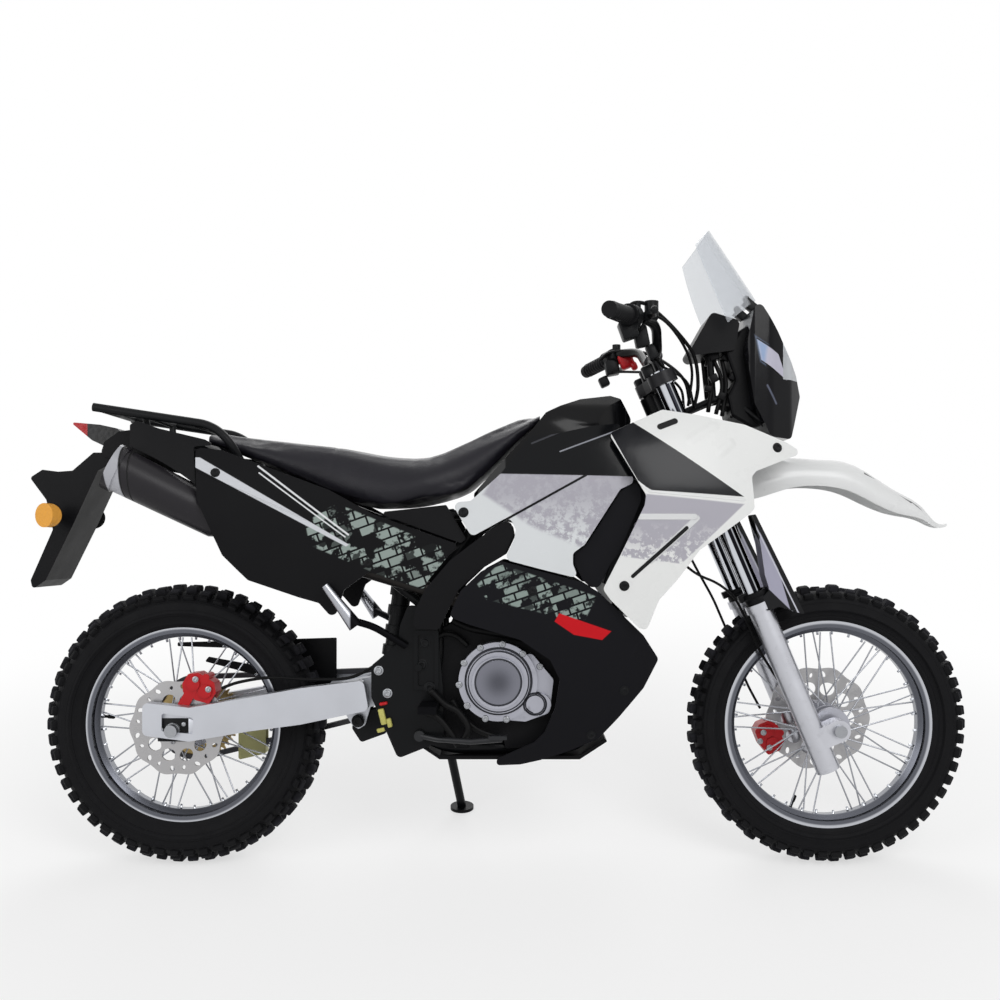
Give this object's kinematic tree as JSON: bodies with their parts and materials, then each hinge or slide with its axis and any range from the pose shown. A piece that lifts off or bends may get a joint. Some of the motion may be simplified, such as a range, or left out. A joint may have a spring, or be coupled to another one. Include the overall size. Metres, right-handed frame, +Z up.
{
  "type": "dual sport motorcycle",
  "caption": "Dual sport motorcycle on its side stand, with wire wheels, knobby tyres, high silencer, tall windscreen and luggage rack; wheels, steering and stand move.",
  "frame": {"origin": "on the floor, in the middle of the bounding box's footprint", "axes": "+X forward, +Y to the machine's left, towards which it leans, +Z up"},
  "size_m": [2.1569, 0.8091, 1.4498],
  "materials": {
    "frame_paint": "satin",
    "aluminium": "satin",
    "engine_metal": "satin",
    "exhaust_steel": "satin",
    "silencer_paint": "satin",
    "black_metal": "satin",
    "red_metal": "satin",
    "steel": "satin",
    "guide_plastic": "matt",
    "black_plastic": "matt",
    "side_plastic": "satin",
    "fairing_plastic": "satin",
    "tank_plastic": "gloss",
    "white_plastic": "gloss",
    "seat_cover": "matt",
    "red_lens": "gloss",
    "amber_lens": "gloss",
    "lamp_glass": "gloss",
    "screen": "clear",
    "chrome": "polished",
    "fork_metal": "satin",
    "guard_plastic": "satin",
    "bar_metal": "satin",
    "grip_rubber": "matt",
    "hose_rubber": "matt",
    "tyre": "matt",
    "rim_metal": "polished",
    "spoke_steel": "polished",
    "hub_metal": "satin",
    "disc_steel": "satin"
  },
  "bodies": {
    "chassis": {"main_frame": "frame_paint", "subframe": "frame_paint", "swingarm": "aluminium", "crankcase": "engine_metal", "engine_covers": "engine_metal", "cylinder_head": "engine_metal", "exhaust_pipe": "exhaust_steel", "silencer": "silencer_paint", "radiators": "black_metal", "skid_plate": "aluminium", "rear_axle": "steel", "shock_absorber": "black_metal", "chain": "steel", "chain_guide": "guide_plastic", "rear_caliper": "red_metal", "fuel_tank": "black_plastic", "seat": "seat_cover", "side_cover_pairs": "black_plastic", "tank_cover_pair": "tank_plastic", "shroud_right": "white_plastic", "shroud_left": "white_plastic", "lower_fairing_pair": "fairing_plastic", "rear_panel_pair": "side_plastic", "tail_panel_pair": "black_plastic", "tail_core": "black_plastic", "tail_light": "red_lens", "plate_hanger": "black_plastic", "rear_indicators": "amber_lens", "luggage_rack": "black_metal", "foot_pegs": "steel", "foot_controls": "steel", "headlight_fairing": "black_plastic", "headlight": "lamp_glass", "instrument": "black_plastic", "fairing_stay": "frame_paint", "windscreen": "screen"},
    "steering": {"triple_clamps": "aluminium", "fork_tubes": "chrome", "fork_lowers": "fork_metal", "fork_guards": "guard_plastic", "handlebar": "bar_metal", "grips": "grip_rubber", "bar_controls": "black_metal", "front_fender": "white_plastic", "front_axle": "steel", "front_caliper": "red_metal", "cables": "hose_rubber"},
    "front_wheel": {"front_tyre": "tyre", "front_rim": "rim_metal", "front_spokes": "spoke_steel", "front_hub": "hub_metal", "front_disc": "disc_steel"},
    "rear_wheel": {"rear_tyre": "tyre", "rear_rim": "rim_metal", "rear_spokes": "spoke_steel", "rear_hub": "hub_metal", "rear_disc": "disc_steel", "rear_sprocket": "steel"},
    "side_stand": {"side_stand": "frame_paint"}
  },
  "joints": [
    {"name": "steering_turn", "type": "hinge", "parent": "chassis", "child": "steering", "pos_m": [0.3691, -0.03648, 1.00784], "axis": [-0.3907, 0.1804, 0.9027], "range_deg": [-38, 38]},
    {"name": "front_wheel_spin", "type": "hinge", "parent": "steering", "child": "front_wheel", "pos_m": [0.75415, -0.17411, 0.31908], "axis": [0, 0.9806, -0.1959], "continuous": true},
    {"name": "rear_wheel_spin", "type": "hinge", "parent": "chassis", "child": "rear_wheel", "pos_m": [-0.74085, -0.17411, 0.31908], "axis": [0, 0.9806, -0.1959], "continuous": true},
    {"name": "side_stand_fold", "type": "hinge", "parent": "chassis", "child": "side_stand", "pos_m": [-0.15332, -0.03599, 0.28562], "axis": [0.1606, 0.9409, 0.2983], "range_deg": [0, 95.4]}
  ]
}
